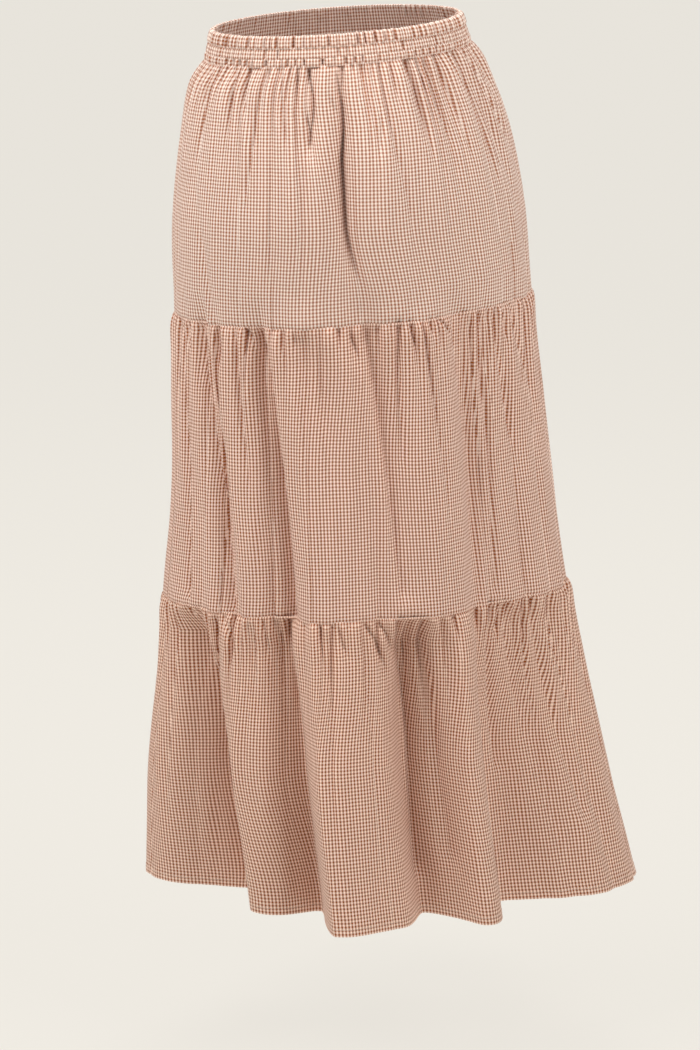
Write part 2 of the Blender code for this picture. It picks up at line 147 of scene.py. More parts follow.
FOLD_NARROW = 0.8            # a fold's section across: exp(-FOLD_NARROW * away ** FOLD_SHOULDER)
FOLD_SHOULDER = 1.8
FOLD_FADE = 0.030            # a fold's ends fade out over this length

# The sharp creases, and one soft fold beside the hem's right corner, with the same columns.
CREASES = (
    # back of tier 1
    (32, 75, 125, 14, 18, 19, -5, -5, -2, 1.8, 1.2),
    (30, 54, 91, 21, 20, 20, -5, -4.5, -2, 1.5, 1.2),
    (32, 57, 91, 32, 34, 35, -7, -5, -2, 1.6, 1.1),
    (30, 48, 78, 39, 40, 42, -8, -7, -2, 1.6, 1.1),
    (32, 81, 169, 48, 47, 44, -8, -8, -2, 1.9, 1.2),
    (32, 66, 115, 56, 58, 60, -7, -6, -2, 1.5, 1.1),
    (30, 45, 71, 62, 63, 64, -6, -5, -2, 1.2, 1.1),
    (32, 63, 112, 67, 70, 67, -9, -9, -7, 1.8, 1.1),
    (78, 98, 130, 67, 68, 70, -7, -7, 0, 1.8, 1.1),
    (36, 74, 126, 79, 81, 79, -5, -9, -22.5, 2.2, 0.9),
    (126, 184, 270, 79, 79, 85, -18, -17, 0, 3, 0.9),
    (60, 72, 88, 76, 78, 80, -5, -5, 0, 1.2, 1),
    (30, 45, 67, 88, 88, 88, -7, -5, -2, 1.2, 1.1),
    (30, 69, 115, 91, 91, 92, -7, -6, -2, 1.5, 1.1),
    (30, 72, 146, 97, 97, 98, -8, -7, -2, 1.6, 1.1),
    (30, 48, 74, 102, 102, 103, -8, -6, -2, 1.4, 1.1),
    (30, 66, 129, 110, 111, 111, -9, -9, -2, 1.8, 1.1),
    (32, 69, 115, 119, 118, 120, -8, -7, -2, 1.6, 1.1),
    (32, 72, 132, 125, 126, 128, -8, -7, -2, 1.6, 1.1),
    (30, 81, 163, 138, 140, 141, -8, -7, -2, 1.6, 1.1),
    (32, 72, 132, 147, 149, 155, -7, -7, -2, 1.6, 1.1),
    (72, 100, 134, 95, 93, 90, 0, -4.5, 0, 1.5, 1.2),
    (96, 146, 222, 98, 99, 101, 0, -4.5, 0, 2, 1.5),
    (62, 160, 274, 66, 65, 64, 0, -4.5, -2, 2.2, 2),
    # back of tier 2
    (296, 308, 326, 14, 14, 16, -7, -7, 0, 1.8, 1.2),
    (296, 400, 590, 8, 12, 17, -15, -16, -10, 5, 1),
    (296, 324, 370, 21, 22, 25, -16, -16, -12.5, 4.5, 0.9),
    (370, 470, 600, 25, 31, 39, -12, -11, -8, 5.5, 0.9),
    (296, 370, 480, 39, 41, 45, -8, -8, 0, 3, 1.2),
    (296, 306, 320, 44, 45, 46, -7, -6, 0, 1.5, 1.1),
    (296, 324, 370, 49, 51, 53, -12.5, -13, -13, 5, 0.9),
    (370, 452, 604, 53, 55, 60, -13.5, -14, -11, 6, 0.9),
    (296, 308, 324, 57, 57, 58, -7, -6, 0, 1.5, 1.1),
    (296, 306, 318, 61, 61, 61, -7, -5, 0, 1.4, 1.1),
    (296, 346, 410, 69, 69, 70, -6, -6, 0, 2.6, 1.6),
    (298, 316, 342, 78, 80, 82, -7, -7, 0, 1.5, 1.1),
    (296, 400, 580, 84, 87, 91, -12.5, -13, -8, 1.8, 5.5),
    (292, 350, 440, 94, 93, 93, -10.5, -11, -4, 3.4, 1.2),
    (292, 306, 326, 97, 98, 99, -8, -7, 0, 1.5, 1.1),
    (292, 300, 312, 104, 104, 105, -8, -6, 0, 1.4, 1.1),
    (292, 302, 322, 107, 110, 114, -7, -7, 0, 1.6, 1.1),
    (294, 440, 600, 118, 119, 118, -8, -7, -4, 2.2, 4.5),
    (296, 400, 590, 125, 126, 125, -8, -7, -4, 2.5, 1.2),
    (298, 380, 480, 131, 135, 140, -6.5, -7, 0, 3.5, 2.4),
    (298, 314, 334, 136, 137, 138, -7, -6, 0, 1.5, 1.1),
    (298, 340, 404, 142, 146, 152, -6, -6, 0, 3, 2.2),
    # back of tier 3
    (602, 612, 626, 17, 18, 19, -7, -6, 0, 1.5, 1.1),
    (602, 612, 628, 23, 24, 25, -7, -6, 0, 1.5, 1.1),
    (602, 640, 696, 28, 29, 29, -9, -9, 0, 2.2, 1.2),
    (606, 630, 660, 36, 40, 39, -8, -8, 0, 1.6, 1.1),
    (602, 626, 654, 50, 51, 52, -9, -8, 0, 1.6, 1.1),
    (602, 626, 654, 54, 54, 55, -7, -7, 0, 1.4, 1.1),
    (602, 640, 716, 57, 59, 60, -10, -10.5, 0, 2, 1.1),
    (606, 734, 923, 58, 62, 65, -11.5, -12, -10, 6, 0.8),
    (604, 624, 648, 73, 74, 76, -9, -8, 0, 1.6, 1.1),
    (602, 634, 690, 80, 84, 87, -8.5, -9, 0, 1.8, 1.1),
    (602, 626, 658, 84, 87, 89, -8, -8, 0, 1.5, 1.1),
    (602, 720, 880, 90, 92, 90, -14, -16, -10, 1.3, 4.5),
    (602, 618, 644, 94, 94, 94, -8, -7, 0, 1.5, 1.1),
    (602, 700, 860, 97, 99, 99, -11.5, -12, -8, 4.5, 0.9),
    (602, 612, 628, 102, 102, 102, -8, -7, 0, 1.5, 1.1),
    (602, 650, 780, 122, 122, 121, -9, -10, -5, 1.8, 6),
    (602, 624, 654, 128, 127, 124, -8, -7, 0, 1.6, 1.1),
    (602, 620, 646, 136, 137, 138, -7, -6, 0, 1.5, 1.1),
    (602, 690, 840, 140, 143, 145, -6, -7, -4, 5.5, 2.6),
    (604, 740, 900, 22, 35, 42, -9.5, -10, -8, 6, 0.8),
    (760, 900, 940, 166, 167, 168, 0, 5, 8.5, 10, 7),
    # front
    (32, 70, 130, 203, 206, 208, -8.5, -9, 0, 1.1, 1.9),
    (32, 60, 100, 219, 219, 217, -8, -7, 0, 1.1, 1.6),
    (32, 52, 84, 233, 231, 230, -8, -7, 0, 1.1, 1.6),
    (32, 110, 240, 246, 248, 246, -10, -10.5, 0, 1.1, 2.2),
    (32, 56, 90, 262, 261, 262, -8, -7, 0, 1.1, 1.5),
    (32, 64, 120, 277, 278, 276, -9, -8, 0, 1.6, 1.1),
    (32, 100, 200, 288, 290, 289, -10, -10.5, 0, 2.2, 1.1),
    (32, 56, 90, 303, 302, 300, -8, -7, 0, 1.6, 1.1),
    (32, 66, 120, 322, 319, 316, -8, -8, 0, 1.8, 1.1),
    (296, 340, 420, 199, 201, 202, -10, -10.5, 0, 1.1, 2.1),
    (296, 312, 340, 212, 212, 213, -8, -7, 0, 1.1, 1.6),
    (296, 350, 460, 225, 223, 222, -9, -9, 0, 1.1, 2),
    (296, 370, 590, 245, 243, 241, -10.5, -11, -7, 1.1, 2.8),
    (296, 312, 340, 254, 254, 253, -8, -7, 0, 1.1, 1.5),
    (296, 330, 390, 266, 266, 267, -9, -9, 0, 1.8, 1.1),
    (296, 370, 590, 279, 278, 277, -10.5, -11, -7, 2.8, 1.1),
    (296, 316, 350, 293, 294, 296, -8, -8, 0, 1.6, 1.1),
    (296, 350, 460, 308, 307, 306, -10, -10.5, 0, 2.2, 1.1),
    (296, 330, 390, 326, 324, 322, -8, -8, 0, 1.8, 1.1),
    (604, 650, 740, 203, 202, 200, -10, -10.5, 0, 1.1, 2.1),
    (604, 622, 650, 216, 217, 218, -8, -7, 0, 1.1, 1.6),
    (604, 640, 700, 228, 227, 227, -9, -9, 0, 1.1, 1.9),
    (604, 700, 860, 244, 242, 240, -10, -10.5, -5, 1.1, 2.8),
    (604, 630, 670, 258, 258, 260, -8, -8, 0, 1.6, 1.1),
    (604, 660, 760, 270, 269, 268, -9, -9, 0, 1.9, 1.1),
    (604, 700, 860, 278, 277, 276, -10, -10.5, -5, 2.8, 1.1),
    (604, 630, 670, 291, 292, 293, -8, -8, 0, 1.6, 1.1),
    (604, 660, 780, 308, 307, 305, -10, -10.5, 0, 2.2, 1.1),
    (604, 640, 700, 329, 327, 325, -9, -9, 0, 1.9, 1.1),
)
SHARP_OPENS = 0.0020         # the sharp creases are fully open this far below a seam
CREASE_FADE = 0.012          # a sharp crease starts and ends over this length
CREASE_SHARP = 1.9
CREASE_BOTTOM = 0.10         # roundness at its bottom, in reaches

# The tiers, a row for each. The flat widths are the whole ring of cloth before it is gathered.
TIERS = (
    # name, top_drop, bottom_drop, flat_top, flat_bottom, puff, tube_top, tube_bottom
    ("tier1", BAND_DROP, SEAM_1_DROP, 1.14, 1.14, 0.0014, 0.0030, 0.0022),
    ("tier2", SEAM_1_DROP, SEAM_2_DROP, 1.40, 1.40, 0.0012, 0.0050, 0.0062),
    ("tier3", SEAM_2_DROP, HEM_DROP, 1.76, 1.88, 0.0012, 0.0066, 0.0025),
)

# The gathers of each tier: families of creases, counted on a half. Each crease has its own place,
# depth, reach down and lean. A family opens fully some way below its seam. Its steepness makes
# round tubes with slits between them where it is small, and even waves where it is two.
GATHERS = {
    # count, depth, reach, opens, steep, lean (radians round the skirt for each metre down)
    "tier1": ((38, 0.0056, 0.042, 0.0030, 0.85, 0.0), (9, 0.0045, 0.075, 0.012, 0.75, 0.1)),
    "tier2": ((44, 0.0064, 0.034, 0.0030, 0.85, 0.2), (13, 0.0050, 0.080, 0.010, 0.75, 0.45)),
    "tier3": ((50, 0.0064, 0.036, 0.0030, 0.85, 0.1), (15, 0.0060, 0.095, 0.010, 0.75, 0.25)),
}
TUBES = {
    # count on a half, steep, lean: the larger round folds between the gathers' ends
    "tier1": (8, 0.8, 0.0),
    "tier2": (11, 0.8, 0.3),
    "tier3": (12, 0.8, 0.1),
}
TUBE_REACH = 9.0             # the tube folds run right down
GAP_SPREAD = 0.28            # unevenness of the creases' spacing, depth, reach and lean
DEPTH_LEAST = 0.20
DEPTH_MOST = 1.50
REACH_SPREAD = 0.60
LEAN_SPREAD = 0.15           # radians round the skirt for each metre down, as each lean is
CREASE_ROUND = 0.035         # roundness at the bottom of a crease
CREASE_FALL = 1.4            # how suddenly a crease ends once past its reach
CREASE_LEVEL = 3.0           # the creases' mean depth over this lifts the cloth between them
GAP_WIDEST = 1.6             # in mean gaps: beyond this a wider gap makes no deeper crease
TUBE_SWAY = 0.15             # share by which a tube fold's depth comes and goes on its way down
TUBE_SWAY_TURNS = 1.5        # per metre
OPEN_POWER = 0.7             # how gently a gather opens below its seam
SEAM_OPEN = 0.0005           # as if each gather began this far above its seam
PUFF_DROP = 0.014            # the cloth stands out most this far below a seam
BLEND_DROP = 0.022           # a tier's own tube folds take over from the tier above by here
SIDE_CALM = 4.0              # degrees beside a side seam over which the waves die out

# slight unevenness of the cloth all over
WRINKLES = (
    # round (per turn), down (per metre), height, phase
    (37, 5, 0.00030, 0.3),
    (-53, 7, 0.00022, 1.9),
    (71, 3, 0.00016, 4.1),
    (-29, 4, 0.00035, 2.6),
)

# seams: each lower edge rolls in a little, and the next piece starts just behind it
ROLL_IN = 0.0014
ROLL_DROP = 0.0020
TUCK_UP = 0.0024
TUCK_IN = 0.0016
SIDE_GROOVE = 0.0009
SIDE_GROOVE_WIDTH = 0.0016

# hem: turned up inside and sewn down
HEM_TURN = 0.0085
HEM_STITCH_UP = 0.0068
HEM_THICK = 0.00035
HEM_GROOVE = 0.00030
HEM_GROOVE_WIDTH = 0.0007
HEM_PUCKERS = 260            # round the whole hem
HEM_PUCKER = 0.00022
HEM_PUCKER_WIDTH = 4.0 * HEM_GROOVE_WIDTH
HEM_DRIFT = 1.7              # radians by which the puckers come closer and further apart
HEM_DRIFTS = 9.0             # round the whole hem
HEM_TURN_GAP = 0.00015       # between the cloth and its turned-up strip
HEM_TURN_STEP = 2            # the strip takes each second column of the cloth

# meshes
TURN = 2.0 * math.pi
SAMPLES = 3600               # fine points over a half ring
HALVES = {
    # first angle, mesh columns of a tier, seed of the tiers' creases, seed of the band's ripples
    "back": (0.0, 560, 1, 70),
    "front": (math.pi, 430, 5, 80),
}
SEEDS_A_TIER = 10
COLUMN_LEVELS = (0.032, 0.160)  # below a tier's top: columns are even along the cloth here
COLUMN_SPAN = (0.4, 1.0, 2.2)  # the first level is the mean over these shares of it
ROW_STEP = 0.0058            # between rows away from the seams
TOP_ROWS = (-TUCK_UP, -0.0010, 0.0, 0.0009, 0.0019, 0.0031, 0.0045, 0.0062, 0.0084, 0.0112,
            0.0148, 0.0192, 0.0244)
SEAM_ROWS = (0.0075, 0.0045, 0.0026, 0.0013, 0.0005, 0.0)
HEM_ROWS = (0.0140, 0.0104, HEM_TURN, 0.0076, HEM_STITCH_UP, 0.0060, 0.0044, 0.0028, 0.0014,
            0.0005, 0.0)
SHARP_EDGE = math.radians(70.0)
TINY = 1e-12
ROUNDING = 1e-6

# waistband: its section from the top fold down the outside, then up the inside
BAND_FLAT = 0.94
BAND_COLUMNS = 500
BAND_STITCHES = (0.42, 0.73)  # shares of the band's height where it is sewn through
BAND_SECTION = (
    # share of the height, out from the body (metres)
    (0.00, -0.0006),
    (0.03, 0.0005),
    (0.10, 0.0013),
    (0.24, 0.0015),
    (0.38, 0.0010),
    (0.42, 0.0005),
    (0.46, 0.0009),
    (0.58, 0.0011),
    (0.70, 0.0009),
    (0.73, 0.0004),
    (0.77, 0.0008),
    (0.88, 0.0004),
    (0.97, -0.0008),
    (1.00, -0.0014),
)
BAND_INSIDE = -0.0026        # the band's inner face, out from the body
BAND_RIPPLES = (
    # creases on a half, depth, from share, to share
    (47, 0.0056, -0.10, 0.42),
    (54, 0.0026, 0.40, 0.75),
    (47, 0.0044, 0.73, 1.10),
)
BAND_STEEP = 0.80
BAND_FADE = 0.05             # the ripples change over this share of the height
BAND_HELD = 0.6              # share of the ripples that the stitching takes away
BAND_HELD_WIDTH = 0.02
BAND_INNER_RIPPLE = 0.5      # share of the ripples that shows inside
BAND_OUTSIDE = (0.0, 0.012, 0.03, 0.06, 0.10, 0.15, 0.20, 0.25, 0.30, 0.34, 0.38, 0.40, 0.42,
                0.44, 0.46, 0.50, 0.55, 0.60, 0.65, 0.69, 0.71, 0.73, 0.75, 0.77, 0.81, 0.85,
                0.89, 0.93, 0.96, 0.98, 1.0)  # mesh rows, shares of the height
BAND_INNER_ROWS = (1.0, 0.94, 0.8, 0.6, 0.4, 0.2, 0.08, 0.02)

# threads
STITCH_LENGTH = 0.0026
STITCH_GAP = 0.0008
THREAD = 0.00038
THREAD_ARCH = 0.55           # in threads: a stitch's middle over its ends
THREAD_SUNK = 0.25           # in threads: its ends below the cloth
THREAD_SIDES = 5
THREAD_STEPS = 5
THREAD_GRAIN = 2400.0        # per metre

# cloth
CHECK_REPEAT = 0.0037
YARN_PITCH = 0.000264
STRIPE_EDGE = 3.0            # how sharply brown changes to white
OVER_EDGE = 2.0              # how sharply the warp and the weft change places on top
OVER_SHARES = (0.5, 0.36)    # what the warp adds to the colour where it is on top, and elsewhere
YARN_GRAIN = (2600.0, 60.0)  # per metre, across a yarn and along it
YARN_TONE = 0.22             # unevenness of each yarn's tone
CLOUD_TONE = 0.10            # and of the whole cloth's
CLOUD_SIZE = (9.0, 3.0)      # its noise's scale and detail
CLOTH_ROUGH = (0.12, 0.80)   # more in the clouds, least
CLOTH_GLOSS = 0.22
CLOTH_SHEEN = (0.10, 0.55)   # weight, roughness
CLOTH_BUMP = (0.35, 0.00006)  # strength, height
TONE_BUMP = 2.0              # how much the yarns' unevenness stands out
CLOTH_COLOURS_AND_SHADE = {
    # white yarn, brown yarn: the cloth's own colours in the waistband and tier 1; tiers 2 and 3
    # take darker browns and deeper, slightly darker whites, painted shade of the lower skirt
    "waistband": ((0.960, 0.820, 0.740), (0.355, 0.115, 0.042)),
    "tier1": ((0.960, 0.820, 0.740), (0.365, 0.118, 0.044)),
    "tier2": ((1.000, 0.785, 0.685), (0.310, 0.080, 0.012)),
    "tier3": ((1.000, 0.765, 0.640), (0.290, 0.066, 0.006)),
}
THREAD_TAN = (0.46, 0.25, 0.16)
THREAD_CREAM = (0.74, 0.62, 0.52)
FLOOR_COLOUR = (0.830, 0.798, 0.735)

# stage
FLOOR_REACH = 60.0
BACKDROP_AWAY = 50.0
BACKDROP_TALL = 60.0
BACKDROP_SIDES = 96
AIR_COLOUR = (0.93, 0.91, 0.88)
AIR_LIGHT = 0.28
FLOOR_PAINT = 0.08           # share of its colour that the floor takes from the lamps
FLOOR_GLOW = 0.94            # the floor and backdrop are lit by lamps of their own too
FLOOR_UNEVEN = 0.015
FLOOR_CLOUDS = 0.6           # per metre
LIGHT_AIM = (0.0, 0.0, -0.15)
LIGHTS = (
    # name, turn, rise (degrees), away, size, power, tint
    ("left_box", 110.0, 40.0, 3.0, 1.6, 32.0, (1.0, 0.98, 0.95)),
    ("high_box", 100.0, 62.0, 3.0, 2.0, 50.5, (1.0, 0.98, 0.95)),
    ("right_box", 220.0, 40.0, 3.0, 1.6, 48.5, (1.0, 0.98, 0.95)),
    ("front_box", -25.0, 40.0, 3.0, 1.6, 50.0, (1.0, 0.98, 0.95)),
)


# ---------------------------------------------------------------- the skirt's surface
def share_of(part):
    return min(max(part, 0.0), 1.0)


def ease(share):
    """Zero to one, with a soft start and end."""
    return share * share * (3.0 - 2.0 * share)


def smooth_between(value, places, sizes):
    """Smooth curve through sizes at rising places that never overshoots them."""
    steps = [places[k + 1] - places[k] for k in range(len(places) - 1)]
    slopes = [(sizes[k + 1] - sizes[k]) / steps[k] for k in range(len(steps))]
    tangents = [slopes[0]] + [0.0] * (len(steps) - 1) + [slopes[-1]]
    for k in range(1, len(steps)):
        if slopes[k - 1] * slopes[k] > 0.0:
            before = 2.0 * steps[k] + steps[k - 1]
            after = steps[k] + 2.0 * steps[k - 1]
            tangents[k] = (before + after) / (before / slopes[k - 1] + after / slopes[k])
    value = min(max(value, places[0]), places[-1])
    k = 0
    while k < len(steps) - 1 and value > places[k + 1]:
        k += 1
    t = (value - places[k]) / steps[k]
    rise = ease(t)
    start_bend = t * (1.0 - t) ** 2 * steps[k] * tangents[k]
    end_bend = t * t * (t - 1.0) * steps[k] * tangents[k + 1]
    return sizes[k] * (1.0 - rise) + sizes[k + 1] * rise + start_bend + end_bend


def body_at(drop):
    """Half width, back depth, front depth, centre x, tilt, dip and side rise at one drop."""
    drops = [row[0] for row in SECTIONS]
    return [smooth_between(drop, drops, [row[k] for row in SECTIONS]) for k in range(1, 8)]


def fold_line(row, angle, drop):
    """A fold's size at a drop, and how many reaches the angles are away from its centre line."""
    drops, angles, sizes, below = row[0:3], row[3:6], row[6:9], drop / MM
    away = (np.degrees(angle) - smooth_between(below, drops, angles) + 180.0) % 360.0 - 180.0
    away = np.where(away < 0.0, -away / row[9], away / row[10])
    return smooth_between(below, drops, sizes) * MM, away


def fold_height(angle, drop):
    """Height of all the large folds off the body, at angles in radians."""
    height = np.zeros_like(angle)
    for row in FOLDS:
        past = max(row[0] * MM - drop, drop - row[2] * MM, 0.0)
        if past >= FOLD_FADE:
            continue
        size, away = fold_line(row, angle, drop)
        size *= 1.0 - past / FOLD_FADE
        height += size * np.exp(-FOLD_NARROW * away ** FOLD_SHOULDER)
    return height


def crease_height(angle, drop):
    """Height of the sharp creases, each a narrow trough with a pointed bottom."""
    height = np.zeros_like(angle)
    for row in CREASES:
        inside = min(drop - row[0] * MM, row[2] * MM - drop) / CREASE_FADE + 0.5
        if inside <= 0.0:
            continue
        size, away = fold_line(row, angle, drop)
        size *= min(inside, 1.0)
        height += size * np.exp(-CREASE_SHARP * np.sqrt(away ** 2 + CREASE_BOTTOM ** 2))
    return height


def side_calm(angle):
    """Zero on the side seams and one from SIDE_CALM degrees away from them."""
    away = np.degrees(np.arcsin(np.abs(np.sin(angle)))) / SIDE_CALM
    return ease(np.minimum(away, 1.0))


def wrinkle(angle, drop):
    """Slight unevenness all over."""
    height = np.zeros_like(angle)
    for around, down, size, phase in WRINKLES:
        height += size * np.sin(around * angle + down * TURN * drop + phase)
    return height * side_calm(angle)


def ring(angle, drop, out):
    """Points of the ring at one drop, moved off the body by out along its level normal."""
    half_width, back, front, centre_x, tilt, dip, side_rise = body_at(drop)
    depth = np.where(np.sin(angle) > 0.0, back, front)
    normal_x = np.cos(angle) / half_width
    normal_y = np.sin(angle) / depth
    length = np.hypot(normal_x, normal_y)
    x = centre_x + half_width * np.cos(angle) + out * normal_x / length
    y = depth * np.sin(angle) + out * normal_y / length
    z = -drop - tilt * x - dip * y + side_rise * np.cos(angle) ** 2
    return np.stack([x, y, z], axis=-1)


def run_along(points):
    """Distance along a row of points, from its first."""
    steps = np.linalg.norm(np.diff(points, axis=0), axis=1)
    return np.concatenate([[0.0], np.cumsum(steps)])


def points_at(places, run, points):
    """Points between those of a row, at places along its run."""
    return np.stack([np.interp(places, run, points[:, k]) for k in range(3)], axis=-1)


def half_angles(half):
    """Fine angles over a half ring."""
    start = HALVES[half][0]
    return np.linspace(start, start + math.pi, SAMPLES + 1)


def side_groove(angle, drop):
    """Depth of the groove along the side seams, round a half ring."""
    around = run_along(ring(angle, drop, 0.0))
    away = np.minimum(around, around[-1] - around)
    return SIDE_GROOVE * np.exp(-(away / SIDE_GROOVE_WIDTH) ** 2)


# ---------------------------------------------------------------- creases of the gathers
def crease_family(seed, start, count, reach, lean=0.0):
    """Creases over a half ring: their places, depths, reach down, lean and sway."""
    draw = np.random.default_rng(seed)
    gaps = np.exp(draw.normal(0.0, GAP_SPREAD, count))
    run = np.concatenate([[0.0], np.cumsum(gaps)]) / gaps.sum()
    depths = draw.uniform(DEPTH_LEAST, DEPTH_MOST, count + 1)
    reaches = reach * np.exp(draw.normal(0.0, REACH_SPREAD, count + 1))
    leans = (lean + draw.normal(0.0, LEAN_SPREAD, count + 1)) * np.sin(math.pi * run)
    sways = draw.uniform(0.0, TURN, count + 1)
    depths[0] = depths[-1] = 0.0
    return start + math.pi * run, depths, reaches, leans, sways


def crease_section(across, steep):
    """One at the bottom of a crease and zero at the crest beside it."""
    across = np.minimum(np.sqrt(across ** 2 + CREASE_ROUND ** 2), 1.0)
    return 1.0 - (1.0 - (1.0 - across) ** 2) ** steep


def creases(angle, below, family, steep, sway=0.0):
    """Height of a family of creases, each a trough between round crests."""
    places, depths, reaches, leans, sways = family
    below = max(below, 0.0)
    places = np.maximum.accumulate(places + leans * below)
    depth = depths * np.exp(-(below / reaches) ** CREASE_FALL)
    depth = depth * (1.0 + sway * np.sin(TUBE_SWAY_TURNS * TURN * below + sways))
    k = np.clip(np.searchsorted(places, angle) - 1, 0, len(places) - 2)
    gap = np.maximum(places[k + 1] - places[k], ROUNDING)
    across = (angle - places[k]) / gap
    deep = depth[k] * crease_section(2.0 * across, steep)
    deep += depth[k + 1] * crease_section(2.0 - 2.0 * across, steep)
    middle_gap = math.pi / (len(places) - 1)
    return depth.mean() / CREASE_LEVEL - deep * np.minimum(gap / middle_gap, GAP_WIDEST)


def opening(below, opens):
    """Share of a gather's depth this far below its seam."""
    return share_of((below + SEAM_OPEN) / (opens + SEAM_OPEN)) ** OPEN_POWER


# ---------------------------------------------------------------- tiers
class Tier:
    """One half of a tier: its creases, and the rows of points of its surface."""

    def __init__(self, index, half):
        (self.name, self.top, self.bottom, self.flat_top, self.flat_bottom, self.puff,
         self.tube_top, self.tube_bottom) = TIERS[index]
        start, self.columns, seed = HALVES[half][:3]
        seed += SEEDS_A_TIER * index
        self.angle = half_angles(half)
        self.is_hem = index == len(TIERS) - 1
        self.families = [crease_family(seed + k, start, row[0], row[2], row[5])
                         for k, row in enumerate(GATHERS[self.name])]
        count, self.tube_steep, lean = TUBES[self.name]
        self.tubes = crease_family(seed + len(self.families), start, count, TUBE_REACH, lean)
        self.above = Tier(index - 1, half) if index > 0 else None

    def share_at(self, drop):
        return share_of((drop - self.top) / (self.bottom - self.top))

    def flat_at(self, drop):
        """Cut width of this half at a drop."""
        return 0.5 * (self.flat_top + (self.flat_bottom - self.flat_top) * self.share_at(drop))

    def gathers(self, drop):
        """Height of the fine and broad creases at a drop."""
        below = drop - self.top
        height = np.zeros_like(self.angle)
        for row, family in zip(GATHERS[self.name], self.families):
            depth, opens, steep = row[1], row[3], row[4]
            wave = creases(self.angle, below - opens, family, steep)
            height += depth * opening(below, opens) * wave
        height += opening(below, SHARP_OPENS) * crease_height(self.angle, drop)
        return height * side_calm(self.angle)

    def tube_height(self, drop):
        """Height of the tube folds at a drop."""
        depth = self.tube_top + (self.tube_bottom - self.tube_top) * self.share_at(drop)
        wave = creases(self.angle, drop - self.top, self.tubes, self.tube_steep, TUBE_SWAY)
        return depth * wave * side_calm(self.angle)

    def out_at(self, drop):
        """Height of this half's surface off the body, round the half ring."""
        angle = self.angle
        below = drop - self.top
        own = ease(share_of(below / BLEND_DROP))
        out = fold_height(angle, drop) + self.gathers(drop)
        out += own * self.tube_height(drop)
        if self.above:
            out += (1.0 - own) * self.above.tube_height(self.top)
        out += wrinkle(angle, drop) * own
        stand = max(below, 0.0) / PUFF_DROP
        out += self.puff * stand * math.exp(1.0 - stand)
        out -= TUCK_IN * math.exp(-max(below + TUCK_UP, 0.0) / TUCK_UP)
        up = self.bottom - drop
        if self.is_hem:
            out += hem_relief(angle, up)
        else:
            out -= ROLL_IN * math.exp(-(up / ROLL_DROP) ** 2)
        return out - side_groove(angle, drop)

    def place_columns(self):
        """Angles of the mesh columns at a few levels, evenly spaced along the cloth there."""
        self.levels = []
        for below in COLUMN_LEVELS + (self.bottom - self.top - HEM_ROWS[0],):
            runs = []
            for share in COLUMN_SPAN if below == COLUMN_LEVELS[0] else (1.0,):
                drop = self.top + share * below
                run = run_along(ring(self.angle, drop, self.out_at(drop)))
                runs.append(run / run[-1])
            even = np.linspace(0.0, 1.0, self.columns)
            places = np.interp(even, np.mean(runs, axis=0), self.angle)
            self.levels.append((self.top + below, places))

    def columns_at(self, drop):
        """Angles of the mesh columns at a drop."""
        k = 0
        while k < len(self.levels) - 2 and drop > self.levels[k + 1][0]:
            k += 1
        (first, upper), (last, lower) = self.levels[k:k + 2]
        return upper + ease(share_of((drop - first) / (last - first))) * (lower - upper)

    def row(self, drop):
        """Points of one row of the mesh."""
        points = ring(self.angle, drop, self.out_at(drop))
        return points_at(self.columns_at(drop), self.angle, points)

    def drops(self):
        """Drops of the mesh rows, closest beside the seams."""
        last = HEM_ROWS if self.is_hem else SEAM_ROWS
        first = self.top + TOP_ROWS[-1]
        end = self.bottom - last[0]
        steps = max(int(round((end - first) / ROW_STEP)), 1)
        middle = [first + (end - first) * k / steps for k in range(1, steps)]
        return [self.top + t for t in TOP_ROWS] + middle + [self.bottom - t for t in last]


def hem_relief(angle, up):
    """The turned-up hem shows as a slightly thicker edge, with a row of stitching drawn in."""
    if up > HEM_TURN + HEM_GROOVE_WIDTH:
        return np.zeros_like(angle)
    thick = HEM_THICK if up <= HEM_TURN else 0.0
    groove = math.exp(-((up - HEM_STITCH_UP) / HEM_GROOVE_WIDTH) ** 2)
    pucker = np.sin(HEM_PUCKERS * angle + HEM_DRIFT * np.sin(HEM_DRIFTS * angle))
    near = math.exp(-((up - HEM_STITCH_UP) / HEM_PUCKER_WIDTH) ** 2)
    return thick - HEM_GROOVE * groove + HEM_PUCKER * near * pucker


# ---------------------------------------------------------------- meshes
def grid_normals(grid):
    """Outward unit normals of a grid of points (rows go down, columns go round)."""
    down = np.gradient(grid, axis=0)
    along = np.gradient(grid, axis=1)
    normal = np.cross(down, along)
    return normal / np.maximum(np.linalg.norm(normal, axis=2, keepdims=True), TINY)


def quads(first, rows, columns, outward):
    """Corner numbers of the faces of a grid whose points are numbered from first."""
    a = first + np.arange(rows - 1)[:, None] * columns + np.arange(columns - 1)[None, :]
    faces = np.stack([a, a + columns, a + columns + 1, a + 1], axis=-1).reshape(-1, 4)
    return faces if outward else faces[:, ::-1]


def rim_loop(rows, columns):
    """Numbers of a grid's border points, once round."""
    top = np.arange(columns)
    right = np.arange(1, rows) * columns + columns - 1
    bottom = (rows - 1) * columns + np.arange(columns - 2, -1, -1)
    left = np.arange(rows - 2, 0, -1) * columns
    return np.concatenate([top, right, bottom, left])


def on_cut(columns, widths, downs):
    """Places on the flat cut of a grid's points, from a width and a place down for each row."""
    across = np.linspace(-0.5, 0.5, columns)[None, :] * np.array(widths)[:, None]
    down = np.repeat(np.array(downs)[:, None], columns, axis=1)
    return np.stack([across, down], axis=-1)


def add_object(name, data):
    thing = bpy.data.objects.new(name, data)
    bpy.context.scene.collection.objects.link(thing)
    return thing


def new_mesh(name, points, faces, material):
    mesh = bpy.data.meshes.new(name)
    mesh.from_pydata([tuple(point) for point in points], [], faces)
    mesh.materials.append(material)
    return mesh


